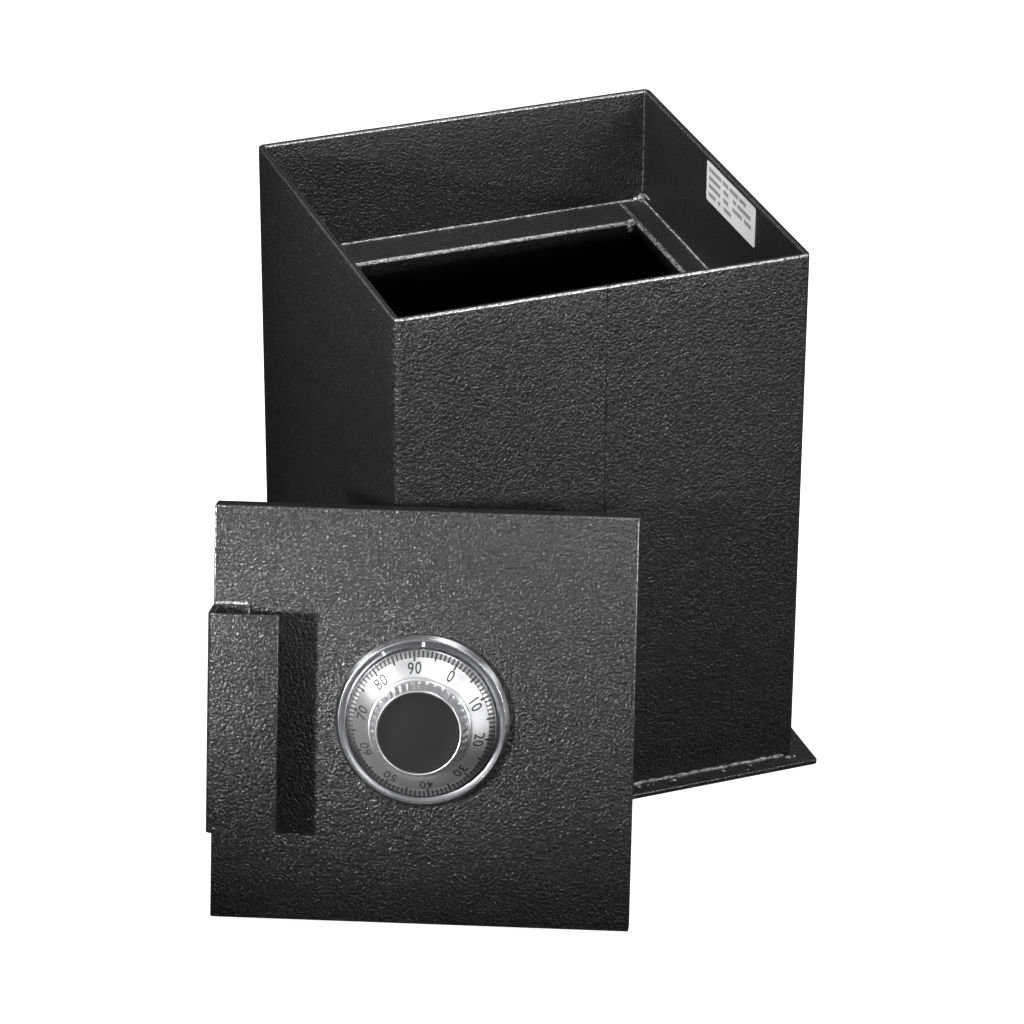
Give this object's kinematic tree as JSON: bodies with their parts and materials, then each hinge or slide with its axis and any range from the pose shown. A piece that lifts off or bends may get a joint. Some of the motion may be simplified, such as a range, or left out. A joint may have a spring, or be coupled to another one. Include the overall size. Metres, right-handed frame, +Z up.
{
  "type": "in-floor safe",
  "caption": "Square under-floor safe: folded steel body on a base flange, inner ledge near the rim, and a loose thick door with a combination dial, wheel lock and bent-plate handle.",
  "frame": {"origin": "centre of the underside of the base flange", "axes": "+Z up through the mouth, -Y out of the front face, which carries the seam; +X to the right seen from the front"},
  "size_m": [0.3431, 0.3547, 0.29],
  "materials": {
    "hammertone": "charcoal hammertone powder coat, glossy, fine grain",
    "chrome": "bright chrome plate",
    "dial_face": "satin chrome with black-filled figures and graduations",
    "cap": "matt dark grey",
    "label": "matt white paper label with grey bars",
    "lock_case": "plated die casting",
    "plated_steel": "bright zinc plate",
    "brass": "machined"
  },
  "bodies": {
    "box": {"body_shell": "hammertone", "base_flange": "hammertone", "seat_bar_left": "hammertone", "seat_bar_right": "hammertone", "seat_bar_front": "hammertone", "seat_bar_back": "hammertone", "serial_label": "label"},
    "door": {"door_plate": "hammertone", "handle": "hammertone", "dial_ring": "chrome", "dial_ring_screw_1": "plated_steel", "dial_ring_screw_2": "plated_steel", "hard_plate": "plated_steel", "lock_case": "lock_case", "lock_cover": "lock_case", "cover_screw_1": "plated_steel", "cover_screw_2": "plated_steel", "case_screw_1": "plated_steel", "case_screw_2": "plated_steel", "case_screw_3": "plated_steel", "wheel_spacer_1": "brass", "wheel_spacer_2": "brass", "wheel_clip": "plated_steel", "bolt_guide": "plated_steel", "guide_screw_1": "plated_steel", "guide_screw_2": "plated_steel", "hook_bar": "plated_steel", "hook_screw_1": "plated_steel", "hook_screw_2": "plated_steel"},
    "dial": {"dial": "dial_face", "dial_knob": "chrome", "knob_cap": "cap", "spindle": "plated_steel", "spline_key": "brass", "drive_cam": "brass"},
    "wheel_1": {"wheel_1": "brass"},
    "wheel_2": {"wheel_2": "brass"},
    "wheel_3": {"wheel_3": "brass"},
    "bolt": {"lock_bolt": "brass", "bolt_bar": "plated_steel", "bolt_bar_screw_1": "plated_steel", "bolt_bar_screw_2": "plated_steel", "lever_screw": "plated_steel"},
    "lever": {"lever": "brass", "lever_spring": "plated_steel"}
  },
  "joints": [
    {"name": "door_lift", "type": "slide", "parent": "box", "child": "door", "axis": [0, 0, 1], "range_m": [0, 0.35]},
    {"name": "dial_turn", "type": "hinge", "parent": "door", "child": "dial", "pos_m": [-0.11764, -0.17164, 0.10384], "axis": [-0.3809, -0.8686, 0.3171], "continuous": true},
    {"name": "wheel_1_turn", "type": "hinge", "parent": "door", "child": "wheel_1", "pos_m": [-0.09935, -0.12995, 0.08862], "axis": [-0.3809, -0.8686, 0.3171], "continuous": true},
    {"name": "wheel_2_turn", "type": "hinge", "parent": "door", "child": "wheel_2", "pos_m": [-0.09935, -0.12995, 0.08862], "axis": [-0.3809, -0.8686, 0.3171], "continuous": true},
    {"name": "wheel_3_turn", "type": "hinge", "parent": "door", "child": "wheel_3", "pos_m": [-0.09935, -0.12995, 0.08862], "axis": [-0.3809, -0.8686, 0.3171], "continuous": true},
    {"name": "bolt_slide", "type": "slide", "parent": "door", "child": "bolt", "axis": [0.9158, -0.4016, 0], "range_m": [0, 0.012]},
    {"name": "lever_lift", "type": "hinge", "parent": "bolt", "child": "lever", "pos_m": [-0.13906, -0.1184, 0.09463], "axis": [-0.3809, -0.8686, 0.3171], "range_deg": [0, 3.3]}
  ],
  "couplings": [
    {"joint": "wheel_1_turn", "follows": "dial_turn", "ratio": 1},
    {"joint": "wheel_2_turn", "follows": "dial_turn", "ratio": 1},
    {"joint": "wheel_3_turn", "follows": "dial_turn", "ratio": 1}
  ]
}
